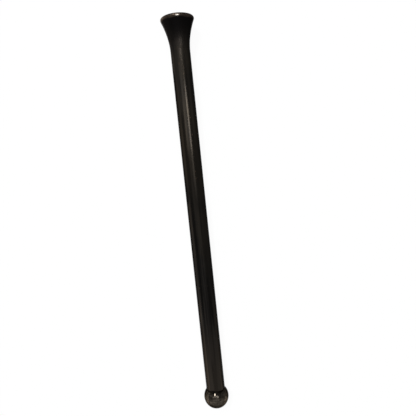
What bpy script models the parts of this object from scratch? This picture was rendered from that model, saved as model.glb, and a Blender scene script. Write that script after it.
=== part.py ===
"""Engine pushrod: a steel tube whose upper end opens in a cup, with a ball end pressed in its lower end.

The rod is turned about +Z in its own frame, with the ball's centre at the origin and the cup on top.
An empty then lays it down along +Y, leaning by the angle at which both the cup's rim and the ball
touch the surface at Z = 0. Metres, +Z up.
"""

import math

import bpy

# The rod as a whole
ROD_LENGTH = 0.2605          # from the rim's face to the ball's pole, before the oil hole is made
TURN_STEPS = 64              # facets round the axis
PRESSED_GAP = 0.0003         # between the ball end and the tube, on the shoulder and in the bore

# Tube
TUBE_DIAMETER = 0.0127
TUBE_WALL = 0.0024
TUBE_EDGE_BREAK = 0.0002     # outer edge of the lower end
BORE_CHAMFER = 0.0005        # lead-in for the spigot

# Trumpet, upset from the tube's own wall
RIM_DIAMETER = 0.0216
FLARE_LENGTH = 0.021         # from the rim's face down to the straight tube
FLARE_POWER = 1.9            # how late the wall opens: 1 is a cone, 2 a parabola
RIM_ROUNDING = 0.0013        # outer edge of the rim
RIM_UNDERCUT = 30            # degrees that the rounding turns below the rim's widest place
RIM_LAND = 0.0007            # width of the flat face on top of the rim

# Cup inside the trumpet
SEAT_BALL_DIAMETER = 0.013   # the rocker arm's ball that the seat is coined to
SEAT_DEPTH = 0.0034          # from the rim's face to that ball's centre

# Ball end
BALL_DIAMETER = 0.01675
SPIGOT_LENGTH = 0.014
SPIGOT_CHAMFER = 0.0008
OIL_HOLE_DIAMETER = 0.003
OIL_HOLE_CHAMFER = 0.0006

# Facets along a profile
FLARE_POINTS = 12
MOUTH_POINTS = 7
SEAT_POINTS = 7
ROUNDING_POINTS = 9
BALL_POINTS = 8              # for each of the ball's two parts, above and below its widest place
SHARP_ANGLE = 25             # degrees between faces past which an edge is shaded sharp

TUBE_RADIUS = TUBE_DIAMETER / 2
BORE_RADIUS = TUBE_RADIUS - TUBE_WALL
RIM_RADIUS = RIM_DIAMETER / 2
SEAT_RADIUS = SEAT_BALL_DIAMETER / 2
BALL_RADIUS = BALL_DIAMETER / 2
OIL_HOLE_RADIUS = OIL_HOLE_DIAMETER / 2

RIM_HEIGHT = ROD_LENGTH - BALL_RADIUS
# The shoulder is the circle where the tube's outside meets the ball, or the ball's widest place
# where the ball is the smaller of the two.
SHOULDER_RADIUS = min(TUBE_RADIUS, BALL_RADIUS)
SHOULDER_HEIGHT = math.sqrt(BALL_RADIUS**2 - SHOULDER_RADIUS**2)


def clear_scene():
    for item in list(bpy.data.objects):
        bpy.data.objects.remove(item, do_unlink=True)


def linear(channel):
    """One sRGB channel, 0 to 255, as the linear value that a shader takes."""
    c = channel / 255
    return c / 12.92 if c <= 0.04045 else ((c + 0.055) / 1.055) ** 2.4


def steel(name, red, green, blue, roughness):
    material = bpy.data.materials.new(name)
    material.use_nodes = True
    shader = material.node_tree.nodes["Principled BSDF"]
    shader.inputs["Base Color"].default_value = (linear(red), linear(green), linear(blue), 1)
    shader.inputs["Metallic"].default_value = 1
    shader.inputs["Roughness"].default_value = roughness
    return material


def arc(centre_radius, centre_height, radius, start, end, points):
    """Profile points on a circle, from start to end degrees, where 0 points away from the axis."""
    angles = [math.radians(start + (end - start) * i / (points - 1)) for i in range(points)]
    return [
        (centre_radius + radius * math.cos(a), centre_height + radius * math.sin(a))
        for a in angles
    ]


def rim_rounding():
    """The rim's outer edge, from the land on top to just under the rim's widest place."""
    return arc(
        RIM_RADIUS - RIM_ROUNDING,
        RIM_HEIGHT - RIM_ROUNDING,
        RIM_ROUNDING,
        90,
        -RIM_UNDERCUT,
        ROUNDING_POINTS,
    )


def flare(top_radius, top_height):
    """The trumpet's outside, from under the rim to where it runs out in the straight tube."""
    foot_height = RIM_HEIGHT - FLARE_LENGTH
    points = []
    for i in range(1, FLARE_POINTS + 1):
        opening = 1 - i / FLARE_POINTS
        radius = TUBE_RADIUS + (top_radius - TUBE_RADIUS) * opening**FLARE_POWER
        points.append((radius, foot_height + (top_height - foot_height) * opening))
    return points


def cup():
    """The coined cup, from the bore's edge up the ball seat and out through the mouth to the land.

    The mouth is a quarter of an ellipse, upright where it leaves the seat and level at the land.
    """
    seat_height = RIM_HEIGHT - SEAT_DEPTH
    bore_edge = math.degrees(math.acos(BORE_RADIUS / SEAT_RADIUS))
    seat = arc(0, seat_height, SEAT_RADIUS, -bore_edge, 0, SEAT_POINTS)
    land_inner_radius = RIM_RADIUS - RIM_ROUNDING - RIM_LAND
    mouth_width = land_inner_radius - SEAT_RADIUS
    mouth = []
    for i in range(1, MOUTH_POINTS):
        turn = math.radians(90) * i / (MOUTH_POINTS - 1)
        mouth.append(
            (
                land_inner_radius - mouth_width * math.cos(turn),
                seat_height + SEAT_DEPTH * math.sin(turn),
            )
        )
    return seat + mouth


def push_tube_profile():
    """Down the outside, across the lower end, up the bore and out through the cup."""
    rounding = rim_rounding()
    end_height = SHOULDER_HEIGHT + PRESSED_GAP
    lower_end = [
        (TUBE_RADIUS, end_height + TUBE_EDGE_BREAK),
        (TUBE_RADIUS - TUBE_EDGE_BREAK, end_height),
        (BORE_RADIUS + BORE_CHAMFER, end_height),
        (BORE_RADIUS, end_height + BORE_CHAMFER),
    ]
    return rounding + flare(*rounding[-1]) + lower_end + cup()


def ball_end_profile():
    """Down the spigot, out over the shoulder, round the ball and back up the oil hole."""
    spigot_radius = BORE_RADIUS - PRESSED_GAP
    spigot_top = SHOULDER_HEIGHT + SPIGOT_LENGTH
    spigot = [
        (OIL_HOLE_RADIUS, spigot_top),
        (spigot_radius - SPIGOT_CHAMFER, spigot_top),
        (spigot_radius, spigot_top - SPIGOT_CHAMFER),
        (spigot_radius, SHOULDER_HEIGHT),
    ]
    shoulder_angle = math.degrees(math.asin(SHOULDER_HEIGHT / BALL_RADIUS))
    pole_angle = math.degrees(math.acos((OIL_HOLE_RADIUS + OIL_HOLE_CHAMFER) / BALL_RADIUS))
    upper_ball = arc(0, 0, BALL_RADIUS, shoulder_angle, 0, BALL_POINTS)
    lower_ball = arc(0, 0, BALL_RADIUS, 0, -pole_angle, 2 * BALL_POINTS)
    oil_hole = [(OIL_HOLE_RADIUS, lower_ball[-1][1] + OIL_HOLE_CHAMFER)]
    return spigot + upper_ball + lower_ball[1:] + oil_hole


def turned(name, profile, material, collection, parent):
    """A piece turned from a closed profile of (radius, height) points by a Screw modifier."""
    mesh = bpy.data.meshes.new(name)
    edges = [(i, (i + 1) % len(profile)) for i in range(len(profile))]
    mesh.from_pydata([(radius, 0, height) for radius, height in profile], edges, [])
    piece = bpy.data.objects.new(name, mesh)
    collection.objects.link(piece)
    screw = piece.modifiers.new("turn", "SCREW")
    screw.axis = "Z"
    screw.steps = TURN_STEPS
    screw.render_steps = TURN_STEPS
    screw.use_merge_vertices = True
    screw.merge_threshold = 0.00001

    # The turned mesh takes the modifier's place, so that its edges can be shaded sharp.
    bpy.context.view_layer.update()
    depsgraph = bpy.context.evaluated_depsgraph_get()
    turned_mesh = bpy.data.meshes.new_from_object(piece.evaluated_get(depsgraph))
    piece.modifiers.clear()
    piece.data = turned_mesh
    bpy.data.meshes.remove(mesh)
    turned_mesh.name = name
    turned_mesh.shade_smooth()
    turned_mesh.set_sharp_from_angle(angle=math.radians(SHARP_ANGLE))
    turned_mesh.materials.append(material)
    piece.parent = parent
    return piece


def lean_when_lying():
    """The axis's slope above level when both the rim's rounding and the ball touch the surface.

    The ball's lowest point is its radius below its centre. The rim's rounding is a ring of that
    section, whose centre circle lies reach along the axis and spread away from it.
    """
    reach = RIM_HEIGHT - RIM_ROUNDING
    spread = RIM_RADIUS - RIM_ROUNDING
    rise = RIM_ROUNDING - BALL_RADIUS
    return math.atan2(spread, reach) + math.asin(rise / math.hypot(reach, spread))


def rod_axis(collection):
    """The empty that carries both pieces: it stands at the ball's centre, along the rod's axis."""
    lean = lean_when_lying()
    pole_end = lower_end_of_ball()
    cup_end = RIM_HEIGHT * math.cos(lean) + (RIM_RADIUS - RIM_ROUNDING) * math.sin(lean)
    axis = bpy.data.objects.new("rod_axis", None)
    axis.empty_display_size = RIM_RADIUS
    axis.location = (0, (pole_end - cup_end) / 2, BALL_RADIUS)
    axis.rotation_euler = (lean - math.radians(90), 0, 0)
    collection.objects.link(axis)
    return axis


def lower_end_of_ball():
    """How far the ball reaches beyond its centre, to the edge of the oil hole's chamfer."""
    return math.sqrt(BALL_RADIUS**2 - (OIL_HOLE_RADIUS + OIL_HOLE_CHAMFER) ** 2)


def main():
    clear_scene()
    pushrod = bpy.data.collections.new("engine_pushrod")
    bpy.context.scene.collection.children.link(pushrod)
    black_steel = steel("blackened_steel", 41, 38, 34, roughness=0.38)
    ball_steel = steel("hardened_ball_steel", 61, 56, 50, roughness=0.3)
    axis = rod_axis(pushrod)
    turned("push_tube", push_tube_profile(), black_steel, pushrod, axis)
    turned("ball_end", ball_end_profile(), ball_steel, pushrod, axis)
    bpy.context.view_layer.update()


main()
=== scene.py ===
# %% [markdown]
# An engine pushrod, lying on a white table
#
# A pushrod carries the lift of the tappet up to the rocker arm. This one is a slim steel tube with
# a ball at its lower end and a trumpet-shaped cup at its upper end. It lies as it would come to
# rest, on the ball and on the rim of the cup, and the camera looks down on it.
#
# The frame holds the two pieces as plain solids with 64 facets. This file gives each of them its
# fine surface and its finish, then the table, the lamps and the camera.

# %% Load the frame
import math

import bpy
from mathutils import Matrix, Vector


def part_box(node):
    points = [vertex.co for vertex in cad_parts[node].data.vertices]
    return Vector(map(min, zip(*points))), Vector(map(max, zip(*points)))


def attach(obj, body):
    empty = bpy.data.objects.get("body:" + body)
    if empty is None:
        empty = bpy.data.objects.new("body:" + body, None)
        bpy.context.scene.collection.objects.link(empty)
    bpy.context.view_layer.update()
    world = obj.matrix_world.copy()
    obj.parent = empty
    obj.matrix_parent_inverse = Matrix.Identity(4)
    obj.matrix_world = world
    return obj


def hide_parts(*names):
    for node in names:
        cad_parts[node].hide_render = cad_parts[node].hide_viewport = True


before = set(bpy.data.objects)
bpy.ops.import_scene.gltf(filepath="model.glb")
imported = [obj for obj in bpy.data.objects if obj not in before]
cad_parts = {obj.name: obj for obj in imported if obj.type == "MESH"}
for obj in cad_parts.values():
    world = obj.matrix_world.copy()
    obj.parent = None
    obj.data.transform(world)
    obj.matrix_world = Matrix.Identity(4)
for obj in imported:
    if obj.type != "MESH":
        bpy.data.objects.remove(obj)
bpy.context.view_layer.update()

bpy.context.scene.view_settings.view_transform = "Standard"
print("nodes:", sorted(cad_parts))

# %% [markdown]
# Sizes
#
# Every part of a turned rod lies round one axis, so all sizes are radii and heights in the rod's
# own frame: the ball's centre is at the origin and the cup is on top. The widest sizes come from
# the frame's boxes. The others repeat the driving sizes of the solids, because a box can't tell how
# thick a wall is.

# %% Sizes in the rod's own frame
MM = 0.001

tube_low, tube_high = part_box("push_tube")
ball_low, ball_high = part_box("ball_end")
RIM_RADIUS = (tube_high.x - tube_low.x) / 2
BALL_RADIUS = (ball_high.x - ball_low.x) / 2

ROD_LENGTH = 260.5 * MM
TUBE_RADIUS = 6.35 * MM
BORE_RADIUS = 3.95 * MM
FLARE_LENGTH = 21 * MM
FLARE_POWER = 1.9
RIM_ROUNDING = 1.3 * MM
RIM_UNDERCUT = 30  # degrees
RIM_LAND = 0.7 * MM
SEAT_RADIUS = 6.5 * MM
SEAT_DEPTH = 3.4 * MM
SPIGOT_LENGTH = 14 * MM
OIL_HOLE_RADIUS = 1.5 * MM
OIL_HOLE_CHAMFER = 0.6 * MM

RIM_HEIGHT = ROD_LENGTH - BALL_RADIUS
SHOULDER_HEIGHT = math.sqrt(BALL_RADIUS**2 - TUBE_RADIUS**2)
print(f"rim radius {RIM_RADIUS / MM:.2f} mm, ball radius {BALL_RADIUS / MM:.3f} mm")

# %% [markdown]
# Where the rod lies
#
# The rim is wider than the ball, so the rod leans a little. The rim's rounded edge is a ring of
# small section: its centre circle lies a reach along the axis from the ball's centre and a spread
# away from it. The lean is the angle at which that ring and the ball are both on the table.

# %% The rod's lean and place
reach = RIM_HEIGHT - RIM_ROUNDING
spread = RIM_RADIUS - RIM_ROUNDING
rise = RIM_ROUNDING - BALL_RADIUS
LEAN = math.atan2(spread, reach) + math.asin(rise / math.hypot(reach, spread))
RIM_FACE_Y = tube_high.y - spread * math.sin(LEAN)
BALL_CENTRE = Vector((0, RIM_FACE_Y - RIM_HEIGHT * math.cos(LEAN), BALL_RADIUS))
LAID_DOWN = (LEAN - math.radians(90), 0, 0)

ALONG = Vector((0, math.cos(LEAN), math.sin(LEAN)))
OVER = Vector((0, -math.sin(LEAN), math.cos(LEAN)))
ACROSS = Vector((1, 0, 0))
RIM_CENTRE = BALL_CENTRE + RIM_HEIGHT * ALONG
print(f"lean {math.degrees(LEAN):.3f} degrees, ball's centre at y {BALL_CENTRE.y / MM:.2f} mm")


def beside_rod(from_rim, over=0.0, across=0.0):
    """A place so far down the rod from the rim's face, over its axis and to the right of it."""
    return RIM_CENTRE - from_rim * ALONG + over * OVER + across * ACROSS


# %% [markdown]
# Camera
#
# The picture was taken from close by, so the cup looks larger than it would from far away, and both
# ends are seen at a slant: the cup from below its rim, the ball from the side of the tube. The
# camera stands 298 mm over the rod, nearer to the cup than to the ball, and it is turned so that
# the rod leans 6 degrees to the left.
#
# A camera looks along its own -Z, with +X to the right of the picture and +Y up. The matrix below
# is made of these three directions.

# %% Camera
CAMERA_OVER = 298.3 * MM
CAMERA_FROM_RIM = 95.7 * MM
CAMERA_ACROSS = 1.2 * MM
AIM_FROM_RIM = 123.05 * MM
AIM_ACROSS = 7.36 * MM
CAMERA_ROLL = 5.86  # degrees
PIXELS = 416
FOCAL_PIXELS = 453.0
SENSOR = 36  # millimetres, as Blender takes it

camera_place = beside_rod(CAMERA_FROM_RIM, over=CAMERA_OVER, across=CAMERA_ACROSS)
view_line = (beside_rod(AIM_FROM_RIM, across=AIM_ACROSS) - camera_place).normalized()

bpy.ops.object.camera_add(location=camera_place)
camera = bpy.context.object
camera.name = "camera_over_rod"
camera.data.sensor_width = SENSOR
camera.data.lens = SENSOR * FOCAL_PIXELS / PIXELS
camera.data.clip_start = 10 * MM
bpy.context.scene.camera = camera

rod_up = (ALONG - ALONG.dot(view_line) * view_line).normalized()
side = view_line.cross(rod_up)
roll = math.radians(CAMERA_ROLL)
picture_up = rod_up * math.cos(roll) + side * math.sin(roll)
picture_right = view_line.cross(picture_up)
turn = Matrix((picture_right, picture_up, -view_line)).transposed()
camera.rotation_euler = turn.to_euler()
print(f"lens {camera.data.lens:.2f} mm")

# %% [markdown]
# Turned pieces
#
# A lathe turns a bar against a tool, so a turned piece is known by half of its section. In Blender
# that is a chain of vertices in the plane beside the axis, drawn by extruding one vertex from point
# to point, and the Spin tool sweeps it round. 192 steps make the outline and the highlights smooth
# where the frame has 64 facets.
#
# Two small functions give the points of a round stretch and of the trumpet's curve.

# %% Points of a half section


def arc(centre_radius, centre_height, radius, start, end, points):
    """Points on a circle, from start to end degrees, where 0 points away from the axis."""
    angles = [math.radians(start + (end - start) * i / (points - 1)) for i in range(points)]
    return [
        (centre_radius + radius * math.cos(a), centre_height + radius * math.sin(a))
        for a in angles
    ]


def flare(top, foot, power, points):
    """Points of a curve that opens from foot to top, late for a high power, without top itself."""
    openings = [1 - i / points for i in range(1, points + 1)]
    return [
        (foot[0] + (top[0] - foot[0]) * o**power, foot[1] + (top[1] - foot[1]) * o)
        for o in openings
    ]


print("a quarter circle in three points:", arc(0, 0, 1, 0, 90, 3))

# %% [markdown]
# From half section to piece
#
# The chain starts as one vertex, which is a small plane merged to its centre. After the spin, the
# first and the last sweep lie on each other, so their doubles are merged, and then the normals are
# made to point outwards.
#
# A piece is modelled upright, because that is how its heights read. It is laid down when it is
# done, and the place is put in its mesh, so that the object itself stays at the origin.

# %% Spin a piece and lay it down
SPIN_STEPS = 192
SAME_PLACE = 0.002 * MM
SHARP_ANGLE = 30  # degrees between faces, past which an edge is shaded sharp


def deselect_all():
    if bpy.context.object and bpy.context.object.mode != "OBJECT":
        bpy.ops.object.mode_set(mode="OBJECT")
    bpy.ops.object.select_all(action="DESELECT")


def spun(name, half_section):
    """A piece spun from a closed chain of (radius, height) points, upright."""
    deselect_all()
    radius, height = half_section[0]
    bpy.ops.mesh.primitive_plane_add(size=MM, location=(radius, 0, height))
    piece = bpy.context.object
    piece.name = name
    bpy.ops.object.transform_apply(location=True, rotation=False, scale=False)

    bpy.ops.object.mode_set(mode="EDIT")
    bpy.ops.mesh.select_mode(type="VERT")
    bpy.ops.mesh.select_all(action="SELECT")
    bpy.ops.mesh.merge(type="CENTER")
    for next_radius, next_height in half_section[1:] + half_section[:1]:
        step = (next_radius - radius, 0, next_height - height)
        bpy.ops.mesh.extrude_region_move(TRANSFORM_OT_translate={"value": step})
        radius, height = next_radius, next_height
    bpy.ops.mesh.select_all(action="SELECT")
    bpy.ops.mesh.remove_doubles(threshold=SAME_PLACE)
    bpy.ops.mesh.spin(steps=SPIN_STEPS, angle=math.tau, center=(0, 0, 0), axis=(0, 0, 1))
    bpy.ops.mesh.select_all(action="SELECT")
    bpy.ops.mesh.remove_doubles(threshold=SAME_PLACE)
    bpy.ops.mesh.normals_make_consistent(inside=False)
    bpy.ops.object.mode_set(mode="OBJECT")
    return piece


def laid_down(piece):
    """Shades the piece, lays it where the rod lies, and puts that place in its mesh."""
    bpy.ops.object.shade_smooth_by_angle(angle=math.radians(SHARP_ANGLE))
    piece.rotation_euler = LAID_DOWN
    piece.location = BALL_CENTRE
    bpy.ops.object.transform_apply(location=True, rotation=True, scale=True)
    print(piece.name, len(piece.data.polygons), "faces")
    return piece


# %% [markdown]
# The tube and its cup
#
# The tube is drawn without a seam, and its upper end is upset and opened hot into a trumpet. The
# rim is turned round outside, with a narrow flat land on top. Inside, a bell mouth leads to the
# seat, which is coined to the rocker arm's ball, and the bore begins at the bottom of the seat.
#
# The bell mouth is a quarter of an ellipse, upright where it leaves the seat and level at the land.

# %% Half section of the tube
JOINT_GAP = 0.06 * MM
END_ROUNDING = 0.25 * MM
BORE_LEAD_IN = 0.5 * MM
ROUNDING_POINTS = 25
FLARE_POINTS = 44
END_POINTS = 6
SEAT_POINTS = 26
MOUTH_POINTS = 24


def tube_section():
    rounding = arc(
        RIM_RADIUS - RIM_ROUNDING,
        RIM_HEIGHT - RIM_ROUNDING,
        RIM_ROUNDING,
        90,
        -RIM_UNDERCUT,
        ROUNDING_POINTS,
    )
    foot = (TUBE_RADIUS, RIM_HEIGHT - FLARE_LENGTH)
    outside = flare(rounding[-1], foot, FLARE_POWER, FLARE_POINTS)

    end = SHOULDER_HEIGHT + JOINT_GAP
    lower_end = arc(
        TUBE_RADIUS - END_ROUNDING, end + END_ROUNDING, END_ROUNDING, 0, -90, END_POINTS
    )
    lower_end += [(BORE_RADIUS + BORE_LEAD_IN, end), (BORE_RADIUS, end + BORE_LEAD_IN)]

    seat_height = RIM_HEIGHT - SEAT_DEPTH
    bore_edge = math.degrees(math.acos(BORE_RADIUS / SEAT_RADIUS))
    seat = arc(0, seat_height, SEAT_RADIUS, -bore_edge, 0, SEAT_POINTS)
    mouth_width = RIM_RADIUS - RIM_ROUNDING - RIM_LAND - SEAT_RADIUS
    turns = [math.radians(90) * i / MOUTH_POINTS for i in range(1, MOUTH_POINTS + 1)]
    mouth = [
        (SEAT_RADIUS + mouth_width * (1 - math.cos(t)), seat_height + SEAT_DEPTH * math.sin(t))
        for t in turns
    ]
    return rounding + outside + lower_end + seat + mouth


tube = laid_down(spun("tube_with_cup", tube_section()))

# %% [markdown]
# The ball end
#
# The ball is hardened and ground. It is wider than the tube, and its shoulder sits on the tube's
# end, so the two meet in a sharp inner corner with a hairline of shadow. A spigot holds it in the
# bore, and an oil hole with a chamfered mouth runs through both.

# %% Half section of the ball end
SPIGOT_GAP = 0.3 * MM
SPIGOT_CHAMFER = 0.8 * MM
UPPER_BALL_POINTS = 22
LOWER_BALL_POINTS = 44


def ball_section():
    spigot_radius = BORE_RADIUS - SPIGOT_GAP
    spigot_top = SHOULDER_HEIGHT + SPIGOT_LENGTH
    spigot = [
        (OIL_HOLE_RADIUS, spigot_top),
        (spigot_radius - SPIGOT_CHAMFER, spigot_top),
        (spigot_radius, spigot_top - SPIGOT_CHAMFER),
        (spigot_radius, SHOULDER_HEIGHT),
    ]
    shoulder = math.degrees(math.asin(SHOULDER_HEIGHT / BALL_RADIUS))
    hole_edge = math.degrees(math.acos((OIL_HOLE_RADIUS + OIL_HOLE_CHAMFER) / BALL_RADIUS))
    upper_ball = arc(0, 0, BALL_RADIUS, shoulder, 0, UPPER_BALL_POINTS)
    lower_ball = arc(0, 0, BALL_RADIUS, 0, -hole_edge, LOWER_BALL_POINTS)
    oil_hole = [(OIL_HOLE_RADIUS, lower_ball[-1][1] + OIL_HOLE_CHAMFER)]
    return spigot + upper_ball + lower_ball[1:] + oil_hole


ball = laid_down(spun("ball_with_spigot", ball_section()))

# %% [markdown]
# Finishes
#
# Both pieces are steel, blackened in a hot salt bath and then oiled. The bath turns the skin of the
# steel into black oxide, a layer thinner than paint by far, so every mark of the tool below it
# still shows. To the eye it is still a metal: it has no milky tone of its own, only reflections,
# and they keep about a hundredth of the light.
#
# Two helpers serve every material here. The first turns a hex colour into the linear values that
# shaders take. The second adds a node with its settings and links.

# %% Helpers for materials


def linear(hex_colour):
    """An sRGB colour such as "#2A2724" as linear red, green, blue and alpha."""
    channels = [int(hex_colour[i : i + 2], 16) / 255 for i in (1, 3, 5)]
    return [c / 12.92 if c <= 0.04045 else ((c + 0.055) / 1.055) ** 2.4 for c in channels] + [1.0]


def add_node(tree, kind, inputs=None, **settings):
    """Adds a node with its settings. inputs gives its sockets, by name or number, what they take.

    That is a value, another node's output, or a node, which stands for its first output in use.
    """
    node = tree.nodes.new(kind)
    for name, value in settings.items():
        setattr(node, name, value)
    for name, value in (inputs or {}).items():
        named = [socket for socket in node.inputs if socket.enabled and socket.name == name]
        socket = named[0] if named else node.inputs[name]
        if isinstance(value, bpy.types.Node):
            value = [output for output in value.outputs if output.enabled][0]
        if isinstance(value, bpy.types.NodeSocket):
            tree.links.new(value, socket)
        else:
            socket.default_value = value
    return node


def empty_material(name):
    material = bpy.data.materials.new(name)
    material.use_nodes = True
    material.node_tree.nodes.clear()
    return material, material.node_tree


print("black oxide in linear values:", [round(channel, 4) for channel in linear("#11100F")])

# %% [markdown]
# The rod's own frame in a material
#
# A picture could carry the streaks and spots, but it would need to be unwrapped round the rod. Here
# they come from noise in the space round the rod instead, because noise has no seam and keeps its
# size in millimetres.
#
# A streak has to follow the axis, even though the rod lies down and leans. So each material first
# takes the shaded point back to the upright frame in which the rod was modelled. Its height there
# and its distance from the axis tell which part of the rod it is on. The rings that a cutting tool
# or a grinding wheel leaves are noise that sees these two numbers only.

# %% The rod's own frame in a material


def rod_frame(tree):
    """The shaded point in the upright frame: the ball's centre is at the origin, the cup on top."""
    place = add_node(tree, "ShaderNodeTexCoord").outputs["Object"]
    return add_node(
        tree,
        "ShaderNodeMapping",
        {"Vector": place, "Location": BALL_CENTRE, "Rotation": LAID_DOWN},
        vector_type="TEXTURE",
    )


def height_and_distance(tree, rod):
    """The shaded point's height along the rod and its distance from the axis, in metres."""
    height = add_node(tree, "ShaderNodeSeparateXYZ", {"Vector": rod}).outputs["Z"]
    level = add_node(tree, "ShaderNodeMapping", {"Vector": rod, "Scale": (1, 1, 0)})
    length = add_node(tree, "ShaderNodeVectorMath", {0: level}, operation="LENGTH")
    return height, length.outputs["Value"]


def tool_rings(tree, height, from_axis, spacing):
    """Noise in rings round the axis."""
    ring_place = add_node(tree, "ShaderNodeCombineXYZ", {"X": from_axis, "Z": height})
    return add_node(
        tree, "ShaderNodeTexNoise", {"Vector": ring_place, "Scale": 1 / spacing, "Detail": 2.0}
    )


def ragged_zone(tree, value, start, end, noise, by):
    """0 where the value is at start, 1 where it is at end. Noise moves the border by so much."""
    centred = add_node(tree, "ShaderNodeMath", {0: noise, 1: -0.5}, operation="ADD")
    moved = add_node(
        tree, "ShaderNodeMath", {0: centred, 1: 2 * by, 2: value}, operation="MULTIPLY_ADD"
    )
    return add_node(
        tree,
        "ShaderNodeMapRange",
        {"Value": moved, "From Min": start, "From Max": end},
        interpolation_type="SMOOTHSTEP",
    )


print(f"laid down by {math.degrees(LAID_DOWN[0]):.2f} degrees about X")

# %% [markdown]
# Zones of the tube
#
# The tube doesn't look the same all along. Towards the cup it is darker and duller. Towards the
# ball it is painted a little lighter and browner, a painted reflection, and next to the ball it is
# painted darker, a painted shade in the corner. The rim has been rubbed in boxes and by hands, so
# the oxide is thin there and warm grey steel shows through it in patches, and one small patch on it
# is painted as bright bare steel, a painted glint. Inside the cup the turning tool has left rings,
# and the rocker arm's ball has polished the seat.
#
# Each of these is a zone: a number from 0 to 1, worked out from the height along the rod and the
# distance from its axis, with a little noise added so that its border isn't a clean line.

# %% Zones of the tube
# For each zone: the height at which it begins, the height at which it is full, and how far the
# noise moves its border.
ZONES_ALONG = {
    # Towards the cup the tube is darker and duller.
    "scale": (RIM_HEIGHT - 31 * MM, RIM_HEIGHT - 5 * MM, 5 * MM),
    "dull": (RIM_HEIGHT - 44 * MM, RIM_HEIGHT - 18 * MM, 8 * MM),
    # Towards the ball the tube is painted lighter and browner: a painted reflection.
    "lower_sheen": (62 * MM, 10 * MM, 8 * MM),
    # Next to the ball the tube's end is painted darker: a painted shade in the corner.
    "corner_shade": (SHOULDER_HEIGHT + 1.1 * MM, SHOULDER_HEIGHT, 1.4 * MM),
    "wear": (RIM_HEIGHT - 2.9 * MM, RIM_HEIGHT - 1.7 * MM, 1.1 * MM),
}
# A small patch on the rim is painted as bright bare steel: a painted glint.
GLINT_PLACE = (0.3 * MM, -10.65 * MM, RIM_HEIGHT - 1.7 * MM)
GLINT_SIZE = 1.5 * MM
GLINT_FLATNESS = 3.4
# The cup's wall lies inside a cone, whose radius is the first value at the rim's face and shrinks
# by the second for each millimetre down.
CONE_RADIUS = 9.4 * MM
CONE_SLOPE = 0.27
CUP_EDGE = 0.1 * MM
CUP_BOTTOM = (RIM_HEIGHT - 9.3 * MM, RIM_HEIGHT - 8.7 * MM)
SEAT_BORDER = (6.5 * MM, 6.2 * MM, 0.5 * MM)
BORE_BORDER = (4.3 * MM, 4.1 * MM)


def nick_on_rim(tree, rod):
    """1 in a painted glint of bright bare steel on the rim, fading to 0 round it. It is longer
    round the rim than across it.
    """
    offset = add_node(
        tree, "ShaderNodeVectorMath", {0: rod, 1: GLINT_PLACE}, operation="SUBTRACT"
    )
    level = add_node(
        tree, "ShaderNodeMapping", {"Vector": offset, "Scale": (1, 1, GLINT_FLATNESS)}
    )
    distance = add_node(tree, "ShaderNodeVectorMath", {0: level}, operation="LENGTH")
    return add_node(
        tree,
        "ShaderNodeMapRange",
        {"Value": distance.outputs["Value"], "From Min": GLINT_SIZE, "From Max": 0.3 * GLINT_SIZE},
    )


def cup_and_seat(tree, height, from_axis, mottle):
    """The shares of the cup's wall and of the seat at the shaded point."""
    cone = add_node(
        tree,
        "ShaderNodeMath",
        {0: height, 1: CONE_SLOPE, 2: CONE_RADIUS - CONE_SLOPE * RIM_HEIGHT},
        operation="MULTIPLY_ADD",
    )
    depth = add_node(tree, "ShaderNodeMath", {0: cone, 1: from_axis}, operation="SUBTRACT")
    inside = add_node(
        tree, "ShaderNodeMapRange", {"Value": depth, "From Min": -CUP_EDGE, "From Max": CUP_EDGE}
    )
    above_bore = add_node(
        tree,
        "ShaderNodeMapRange",
        {"Value": height, "From Min": CUP_BOTTOM[0], "From Max": CUP_BOTTOM[1]},
    )
    start, end, by = SEAT_BORDER
    polished = ragged_zone(tree, from_axis, start, end, mottle, by)
    in_cup = add_node(tree, "ShaderNodeMath", {0: inside, 1: above_bore}, operation="MULTIPLY")
    in_seat = add_node(tree, "ShaderNodeMath", {0: polished, 1: above_bore}, operation="MULTIPLY")
    return in_cup, in_seat


def tube_zones(tree, rod, height, from_axis, mottle):
    """The share of each zone at the shaded point."""
    zones = {
        name: ragged_zone(tree, height, start, end, mottle, by)
        for name, (start, end, by) in ZONES_ALONG.items()
    }
    zones["nick"] = nick_on_rim(tree, rod)
    zones["cup"], zones["seat"] = cup_and_seat(tree, height, from_axis, mottle)
    zones["bore"] = add_node(
        tree,
        "ShaderNodeMapRange",
        {"Value": from_axis, "From Min": BORE_BORDER[0], "From Max": BORE_BORDER[1]},
    )
    return zones


print("zones along the rod:", ", ".join(ZONES_ALONG))

# %% [markdown]
# Patterns of the drawn tube
#
# The tube is pulled through a ring, the die, and the die leaves fine straight marks along it. Noise
# stretched forty times along the axis draws the ones that can be seen. Their real spacing is some
# tenths of a millimetre. It is drawn at 0.9 mm, because a pixel of the picture covers 0.65 mm.
#
# The bath leaves its own marks: a slow mottle, a tint that drifts from black to brown, a fine grain
# and a few small specks.

# %% Patterns of the drawn tube
STREAK_SPACING = 0.9 * MM
STREAK_STRETCH = 40
MOTTLE_SIZE = 7 * MM
MOTTLE_STRETCH = 4
TINT_SIZE = 14 * MM
TINT_STRETCH = 3
GRAIN_SIZE = 0.35 * MM
SPECK_SIZE = 1.1 * MM
RING_SPACING = 0.5 * MM


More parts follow.
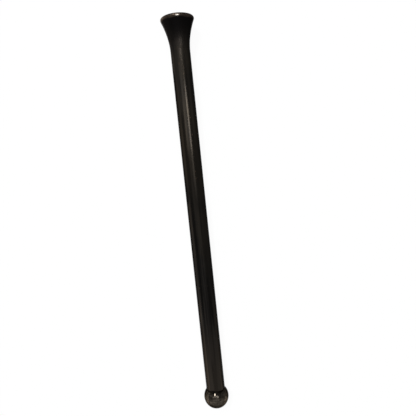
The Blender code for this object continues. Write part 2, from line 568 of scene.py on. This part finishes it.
def tube_patterns(tree, rod, height, from_axis):
    """The noises of the tube's skin. Their values lie between 0 and 1, mostly near one half."""
    streak_place = add_node(
        tree, "ShaderNodeMapping", {"Vector": rod, "Scale": (1, 1, 1 / STREAK_STRETCH)}
    )
    mottle_place = add_node(
        tree, "ShaderNodeMapping", {"Vector": rod, "Scale": (1, 1, 1 / MOTTLE_STRETCH)}
    )
    # The tint is noise from another part of the same space, so that it doesn't follow the mottle.
    tint_place = add_node(
        tree,
        "ShaderNodeMapping",
        {"Vector": rod, "Location": (1.3, 0.7, 0.4), "Scale": (1, 1, 1 / TINT_STRETCH)},
    )
    patterns = {"rings": tool_rings(tree, height, from_axis, RING_SPACING)}
    for name, place, size, detail, roughness in (
        ("streaks", streak_place, STREAK_SPACING, 3.0, 0.6),
        ("mottle", mottle_place, MOTTLE_SIZE, 4.0, 0.55),
        ("tint", tint_place, TINT_SIZE, 3.0, 0.5),
        ("grain", rod, GRAIN_SIZE, 2.0, 0.5),
        ("specks", rod, SPECK_SIZE, 2.0, 0.5),
    ):
        patterns[name] = add_node(
            tree,
            "ShaderNodeTexNoise",
            {"Vector": place, "Scale": 1 / size, "Detail": detail, "Roughness": roughness},
        )
    return patterns


print(f"streaks {STREAK_SPACING / MM} mm apart and {STREAK_STRETCH} times as long")

# %% [markdown]
# Colour and gloss of the tube
#
# Both are laid on in layers: the oxide with its mottle, then streaks, tint and specks, then the
# painted lighter end, the darker top, the painted shade by the ball and the wear with its painted
# glint, and last the inside of the cup. Each layer covers the one below by its share. Oiled oxide
# is glossy, and the darker top, the painted corner shade and the wear are duller.

# %% Colour and gloss of the tube


def tube_colour(tree, patterns, zones):
    streak_share = add_node(
        tree,
        "ShaderNodeMapRange",
        {"Value": patterns["streaks"], "From Min": 0.42, "From Max": 0.82},
    )
    tint_share = add_node(
        tree, "ShaderNodeMapRange", {"Value": patterns["tint"], "From Min": 0.45, "From Max": 0.75}
    )
    worn_steel = add_node(
        tree,
        "ShaderNodeMix",
        {"Factor": patterns["specks"], "A": linear("#0A0807"), "B": linear("#342D27")},
        data_type="RGBA",
    )
    colour = add_node(
        tree,
        "ShaderNodeMix",
        {"Factor": patterns["mottle"], "A": linear("#090808"), "B": linear("#11100F")},
        data_type="RGBA",
    )
    for share, layer in (
        (streak_share, linear("#1A1917")),
        (tint_share, linear("#1C1915")),
        (zones["speck"], linear("#1F1914")),
        # painted reflection: the lower end lighter and browner
        (zones["lower_sheen"], linear("#1C1916")),
        (zones["scale"], linear("#090808")),
        # painted shade in the corner by the ball
        (zones["corner_shade"], linear("#090807")),
        (zones["wear"], worn_steel),
        # painted glint: bright bare steel on the rim
        (zones["nick"], linear("#A29D96")),
        (zones["cup"], linear("#201D19")),
        (zones["seat"], linear("#433F39")),
        (zones["bore"], linear("#090807")),
    ):
        inputs = {"Factor": share, "A": colour, "B": layer}
        colour = add_node(tree, "ShaderNodeMix", inputs, data_type="RGBA")
    return colour


def tube_roughness(tree, patterns, zones):
    roughness = add_node(
        tree, "ShaderNodeMapRange", {"Value": patterns["mottle"], "To Min": 0.1, "To Max": 0.18}
    )
    for share, layer in (
        (zones["speck"], 0.3),
        (zones["dull"], 0.22),
        (zones["scale"], 0.38),
        (zones["corner_shade"], 0.5),
        (zones["wear"], 0.24),
        (zones["cup"], 0.3),
        (zones["seat"], 0.14),
        (zones["bore"], 0.5),
    ):
        roughness = add_node(tree, "ShaderNodeMix", {"Factor": share, "A": roughness, "B": layer})
    return roughness


# %% [markdown]
# Black oxide on the drawn tube
#
# Marks that are too fine to see tilt the skin to the left and right but not along the axis, so a
# lamp's reflection is smeared across the tube. The shader's anisotropy does this, and its tangent
# is the axis. Two bumps add the marks and the grain that can be seen.

# %% Black oxide on the drawn tube
STREAK_DEPTH = 0.014 * MM
GRAIN_DEPTH = 0.004 * MM


def black_oxide_tube():
    material, tree = empty_material("black_oxide_on_drawn_steel")
    rod = rod_frame(tree)
    height, from_axis = height_and_distance(tree, rod)
    patterns = tube_patterns(tree, rod, height, from_axis)
    zones = tube_zones(tree, rod, height, from_axis, patterns["mottle"])
    zones["speck"] = add_node(
        tree,
        "ShaderNodeMapRange",
        {"Value": patterns["specks"], "From Min": 0.66, "From Max": 0.74},
    )

    relief = add_node(
        tree,
        "ShaderNodeMix",
        {"Factor": zones["cup"], "A": patterns["streaks"], "B": patterns["rings"]},
    )
    marks = add_node(tree, "ShaderNodeBump", {"Height": relief, "Distance": STREAK_DEPTH})
    skin = add_node(
        tree,
        "ShaderNodeBump",
        {"Height": patterns["grain"], "Distance": GRAIN_DEPTH, "Normal": marks},
    )
    along_axis = add_node(
        tree, "ShaderNodeCombineXYZ", {"X": ALONG.x, "Y": ALONG.y, "Z": ALONG.z}
    )
    shader = add_node(
        tree,
        "ShaderNodeBsdfPrincipled",
        {
            "Base Color": tube_colour(tree, patterns, zones),
            "Metallic": 1.0,
            "Roughness": tube_roughness(tree, patterns, zones),
            "Specular Tint": linear("#B9B9B9"),
            "Anisotropic": 0.8,
            "Anisotropic Rotation": 0.25,
            "Tangent": along_axis,
            "Normal": skin,
        },
    )
    add_node(tree, "ShaderNodeOutputMaterial", {"Surface": shader})
    return material


tube.data.materials.append(black_oxide_tube())
print(tube.active_material.name, len(tube.active_material.node_tree.nodes), "nodes")

# %% [markdown]
# Zones of the ball
#
# The ball's lower half turns in the tappet's seat, which has polished the oxide to a mottled
# lighter grey. In the corner under the tube the ball is painted darker, a painted shade. The oil
# hole's chamfer was cut last and is bright.

# %% Zones of the ball
POLISH_BORDER = (4.5 * MM, -0.5 * MM, 1.5 * MM)
# In the corner under the tube the ball is painted darker: a painted shade.
CORNER_SHADE_BORDER = (SHOULDER_HEIGHT - 0.9 * MM, SHOULDER_HEIGHT, 2.4 * MM)
HOLE_EDGE = OIL_HOLE_RADIUS + OIL_HOLE_CHAMFER
EDGE_BLUR = 0.1 * MM


def ball_zones(tree, height, from_axis, spots, patches):
    """The shares of polish, painted corner shade, chamfer and hole at the shaded point."""
    start, end, by = POLISH_BORDER
    polish = ragged_zone(tree, height, start, end, spots, by)
    start, end, by = CORNER_SHADE_BORDER
    corner_shade = ragged_zone(tree, height, start, end, patches, by)
    chamfer = add_node(
        tree,
        "ShaderNodeMapRange",
        {"Value": from_axis, "From Min": HOLE_EDGE + EDGE_BLUR, "From Max": HOLE_EDGE},
    )
    in_hole = add_node(
        tree,
        "ShaderNodeMapRange",
        {"Value": from_axis, "From Min": OIL_HOLE_RADIUS + EDGE_BLUR, "From Max": OIL_HOLE_RADIUS},
    )
    return polish, corner_shade, chamfer, in_hole


# %% [markdown]
# Black oxide on the ground ball
#
# The ball is hardened and ground before it is blackened, so it has no streaks along it, only faint
# rings round it from the grinding wheel, and it shines more than the tube. Tiny pits, drawn at
# 0.7 mm so that they show at all, break up its reflections.

# %% Black oxide on the ground ball
SPOT_SIZE = 1.2 * MM
PATCH_SIZE = 5 * MM
WHEEL_SPACING = 0.8 * MM
PIT_SIZE = 0.7 * MM
PIT_DEPTH = 0.006 * MM


def black_oxide_ball():
    material, tree = empty_material("black_oxide_on_ground_steel")
    rod = rod_frame(tree)
    height, from_axis = height_and_distance(tree, rod)
    spots = add_node(
        tree,
        "ShaderNodeTexNoise",
        {"Vector": rod, "Scale": 1 / SPOT_SIZE, "Detail": 3.0, "Roughness": 0.65},
    )
    patches = add_node(
        tree, "ShaderNodeTexNoise", {"Vector": rod, "Scale": 1 / PATCH_SIZE, "Detail": 3.0}
    )
    pits = add_node(
        tree, "ShaderNodeTexNoise", {"Vector": rod, "Scale": 1 / PIT_SIZE, "Detail": 2.0}
    )
    rings = tool_rings(tree, height, from_axis, WHEEL_SPACING)
    polish, corner_shade, chamfer, in_hole = ball_zones(tree, height, from_axis, spots, patches)

    uneven = add_node(tree, "ShaderNodeMath", {0: spots, 1: rings}, operation="ADD")
    grey_share = add_node(
        tree, "ShaderNodeMapRange", {"Value": uneven, "From Min": 0.8, "From Max": 1.2}
    )
    grey_steel = add_node(
        tree,
        "ShaderNodeMix",
        {"Factor": grey_share, "A": linear("#201D19"), "B": linear("#3C3731")},
        data_type="RGBA",
    )
    oxide_share = add_node(
        tree, "ShaderNodeMapRange", {"Value": spots, "From Min": 0.4, "From Max": 0.6}
    )
    colour = add_node(
        tree,
        "ShaderNodeMix",
        {"Factor": oxide_share, "A": linear("#0B0A09"), "B": linear("#25221E")},
        data_type="RGBA",
    )
    for share, layer in (
        (polish, grey_steel),
        # painted shade in the corner under the tube
        (corner_shade, linear("#090806")),
        (chamfer, linear("#605951")),
        (in_hole, linear("#090807")),
    ):
        inputs = {"Factor": share, "A": colour, "B": layer}
        colour = add_node(tree, "ShaderNodeMix", inputs, data_type="RGBA")

    roughness = add_node(
        tree, "ShaderNodeMapRange", {"Value": spots, "To Min": 0.06, "To Max": 0.16}
    )
    for share, layer in ((corner_shade, 0.45), (chamfer, 0.2), (in_hole, 0.5)):
        roughness = add_node(tree, "ShaderNodeMix", {"Factor": share, "A": roughness, "B": layer})

    relief = add_node(tree, "ShaderNodeMath", {0: pits, 1: rings}, operation="ADD")
    skin = add_node(tree, "ShaderNodeBump", {"Height": relief, "Distance": PIT_DEPTH})
    shader = add_node(
        tree,
        "ShaderNodeBsdfPrincipled",
        {
            "Base Color": colour,
            "Metallic": 1.0,
            "Roughness": roughness,
            "Specular Tint": linear("#B2B2B2"),
            "Normal": skin,
        },
    )
    add_node(tree, "ShaderNodeOutputMaterial", {"Surface": shader})
    return material


ball.data.materials.append(black_oxide_ball())
print(ball.active_material.name, len(ball.active_material.node_tree.nodes), "nodes")

# %% [markdown]
# White table
#
# The rod lies on white paper, and the paper fills the picture. It is one large plane. A share of
# its white is paint that the lamps light, which keeps the rod's shadow, and the rest is glow. The
# glow is there only for rays that look at the table, from the camera or by way of the metal, so it
# makes the picture white and doesn't light the rod.

# %% White table
TABLE_SIZE = 12.0
TABLE_GLOW = 0.95

deselect_all()
bpy.ops.mesh.primitive_plane_add(size=TABLE_SIZE)
table = bpy.context.object
table.name = "white_table"


def seen_directly(tree):
    """1 for camera, glossy and transmission rays, and 0 for the rays that light the scene."""
    rays = add_node(tree, "ShaderNodeLightPath").outputs
    camera_or_glossy = add_node(
        tree,
        "ShaderNodeMath",
        {0: rays["Is Camera Ray"], 1: rays["Is Glossy Ray"]},
        operation="MAXIMUM",
    )
    return add_node(
        tree,
        "ShaderNodeMath",
        {0: camera_or_glossy, 1: rays["Is Transmission Ray"]},
        operation="MAXIMUM",
    )


def white_paper():
    material, tree = empty_material("white_paper")
    paint = add_node(tree, "ShaderNodeBsdfDiffuse", {"Color": linear("#A8A8A8")})
    glow = add_node(tree, "ShaderNodeEmission", {"Strength": 1.0})
    share = add_node(
        tree, "ShaderNodeMath", {0: seen_directly(tree), 1: TABLE_GLOW}, operation="MULTIPLY"
    )
    surface = add_node(tree, "ShaderNodeMixShader", {0: share, 1: paint, 2: glow})
    add_node(tree, "ShaderNodeOutputMaterial", {"Surface": surface})
    return material


table.data.materials.append(white_paper())
print("table", TABLE_SIZE, "m")

# %% [markdown]
# White room
#
# Above the table there is a plain white room. Metal shows it as white, and for the light that falls
# on things it is dimmer, because the lamps add to it.

# %% White room
ROOM_LIGHT = 0.2

world = bpy.data.worlds.new("white_room")
bpy.context.scene.world = world
world.use_nodes = True
room = world.node_tree
room.nodes.clear()
strength = add_node(
    room, "ShaderNodeMapRange", {"Value": seen_directly(room), "To Min": ROOM_LIGHT, "To Max": 1.0}
)
background = add_node(
    room, "ShaderNodeBackground", {"Color": linear("#FFFFFF"), "Strength": strength}
)
add_node(room, "ShaderNodeOutputWorld", {"Surface": background})
print("room light", ROOM_LIGHT)

# %% [markdown]
# Lamps
#
# Black steel shows little but its lamps, so they are placed by what the rod reflects. A round rod
# is a mirror that squeezes the room into a few millimetres: straight up is seen along its middle,
# the left wall along its left side, and a lamp becomes a long thin line. A small bright window far
# away makes the spot on the ball.
#
# Each lamp is given by the direction in which the rod sees it: so many degrees round the rod, to
# the right of straight up, and so many tilted towards the cup. Its brightness is a multiple of
# white paper's.

# %% Lamps by direction
WHITE = "#FFFFFF"
WARM_WHITE = "#FFF6EA"
LINE_PLACE = beside_rod(68 * MM)
FAR = 2.0
WINDOW_AWAY = 8.0

# name, seen from, degrees to the right and towards the cup, distance, half its width and half its
# length in degrees, brightness, colour
LAMPS = (
    ("line_lamp", LINE_PLACE, 12.5, 4.5, FAR, 6.5, 5, 22.5, WHITE),
    ("line_top", LINE_PLACE, 12.5, 13, FAR, 7, 5, 2, WHITE),
    ("line_end", LINE_PLACE, 11, -3, FAR, 8, 5, 2.5, WHITE),
    ("bar_lamp", LINE_PLACE, -21, 7, FAR, 19, 8, 2.71, WHITE),
    ("left_line", LINE_PLACE, -27, 3.5, FAR, 6, 2.5, 3.75, WARM_WHITE),
    ("left_panel", LINE_PLACE, -62, 15, FAR, 20, 10, 1.21, WHITE),
    ("window_foot", BALL_CENTRE, 0, 18.5, WINDOW_AWAY, 9, 2.5, 32.7, WHITE),
    ("window", BALL_CENTRE, -16, 32, WINDOW_AWAY, 4, 9, 113, WHITE),
    ("front_panel", BALL_CENTRE, -18, -56, FAR, 40, 22, 0.4, WHITE),
    ("ceiling", LINE_PLACE, -5, -12, FAR, 26, 24, 0.911, WHITE),
    ("left_wall", BALL_CENTRE, -58, -38, FAR, 30, 15, 0.891, WHITE),
    ("right_wall", BALL_CENTRE, 64, -39, FAR, 26, 14, 0.81, WHITE),
    ("right_panel", LINE_PLACE, 65, 13, FAR, 15, 12, 0.51, WHITE),
)


def soft_lamp(name, place, target, width, length, brightness, colour):
    """A rectangular lamp of that brightness, where 1 is as bright as white paper."""
    deselect_all()
    bpy.ops.object.light_add(type="AREA", location=place)
    lamp = bpy.context.object
    lamp.name = name
    facing = (target - place).normalized()
    lengthwise = (ALONG - ALONG.dot(facing) * facing).normalized()
    crosswise = lengthwise.cross(-facing)
    lamp.rotation_euler = Matrix((crosswise, lengthwise, -facing)).transposed().to_euler()
    lamp.data.shape = "RECTANGLE"
    lamp.data.size = width
    lamp.data.size_y = length
    lamp.data.energy = brightness * math.pi * width * length
    lamp.data.color = linear(colour)[:3]
    lamp.visible_camera = False


for name, seen_from, right, to_cup, distance, half_width, half_length, brightness, colour in LAMPS:
    right, to_cup = math.radians(right), math.radians(to_cup)
    sideways = math.sin(right) * ACROSS + math.cos(right) * OVER
    direction = math.cos(to_cup) * sideways + math.sin(to_cup) * ALONG
    width = 2 * distance * math.tan(math.radians(half_width))
    length = 2 * distance * math.tan(math.radians(half_length))
    place = seen_from + distance * direction
    soft_lamp(name, place, seen_from, width, length, brightness, colour)
print(len(LAMPS), "lamps in the room")

# %% [markdown]
# White cards
#
# The flanks of the rod look out flat over the table, where no lamp of the room stands. In a photo
# studio, strips of white card would be put there. These give light of their own. They stand on the
# table beside the rod and rise outwards, so that each flank keeps a thin light edge.

# %% White cards
CARD_WHITE = "#FFF6EC"
CARD_FOOT = 0.4 * MM

# name, its middle from the rim, length, foot and top to the right of the axis, height of the top,
# brightness
CARDS = (
    ("left_card", 50 * MM, 150 * MM, -28 * MM, -80 * MM, 34 * MM, 1.4),
    ("left_card_end", 169 * MM, 92 * MM, -26 * MM, -80 * MM, 34 * MM, 2.8),
    ("left_card_low", 247 * MM, 84 * MM, -21 * MM, -80 * MM, 30 * MM, 2.4),
    ("rim_card", 5 * MM, 50 * MM, -13 * MM, -42 * MM, 8 * MM, 3),
    ("right_card", 226 * MM, 60 * MM, 28 * MM, 80 * MM, 34 * MM, 0.56),
    ("right_card_low", 280 * MM, 36 * MM, 14 * MM, 70 * MM, 20 * MM, 1.8),
)
for name, from_rim, length, foot, top, top_height, brightness in CARDS:
    card_foot = beside_rod(from_rim, across=foot)
    card_top = beside_rod(from_rim, across=top)
    card_foot.z = CARD_FOOT
    card_top.z = top_height
    middle = (card_foot + card_top) / 2
    facing = (card_top - card_foot).cross(ALONG).normalized()
    if facing.z < 0:
        facing = -facing
    width = (card_top - card_foot).length
    soft_lamp(name, middle, middle + facing, width, length, brightness, CARD_WHITE)
print(len(CARDS), "cards beside the rod")

# %% [markdown]
# Ride and replace
#
# Each fine piece takes the place of its plain solid and moves with the body "root".

# %% Ride and replace
for piece, node, material_slot in (
    (tube, "push_tube", "tube_steel"),
    (ball, "ball_end", "ball_steel"),
):
    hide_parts(node)
    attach(piece, "root")
